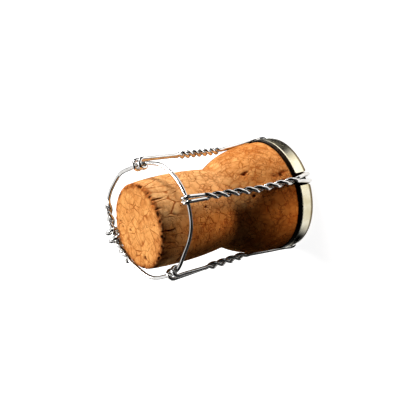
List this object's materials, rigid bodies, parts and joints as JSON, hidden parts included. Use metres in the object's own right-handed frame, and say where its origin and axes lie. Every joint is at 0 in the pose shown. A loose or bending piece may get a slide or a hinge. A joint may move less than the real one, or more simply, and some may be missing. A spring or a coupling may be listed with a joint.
{
  "type": "champagne cork",
  "caption": "Champagne cork with a round head and a barrel-shaped shaft, in its loosened cage of twisted wire legs hooked round a belt wire, under a pressed metal cap.",
  "frame": {"origin": "centre of the cap's raised panel, on the cork's axis, where the part stands on its head", "axes": "+Z along the cork's axis from the cap to the small end; the windows between the legs face along X and Y"},
  "size_m": [0.0328, 0.0337, 0.0497],
  "materials": {
    "cork": "agglomerated cork, matt, open pores",
    "cap_metal": "bright lacquered tinplate",
    "wire": "bright drawn wire"
  },
  "bodies": {
    "root": {"cork": "cork", "cap": "cap_metal", "cage_wire": "wire", "belt_wire": "wire"}
  },
  "joints": []
}
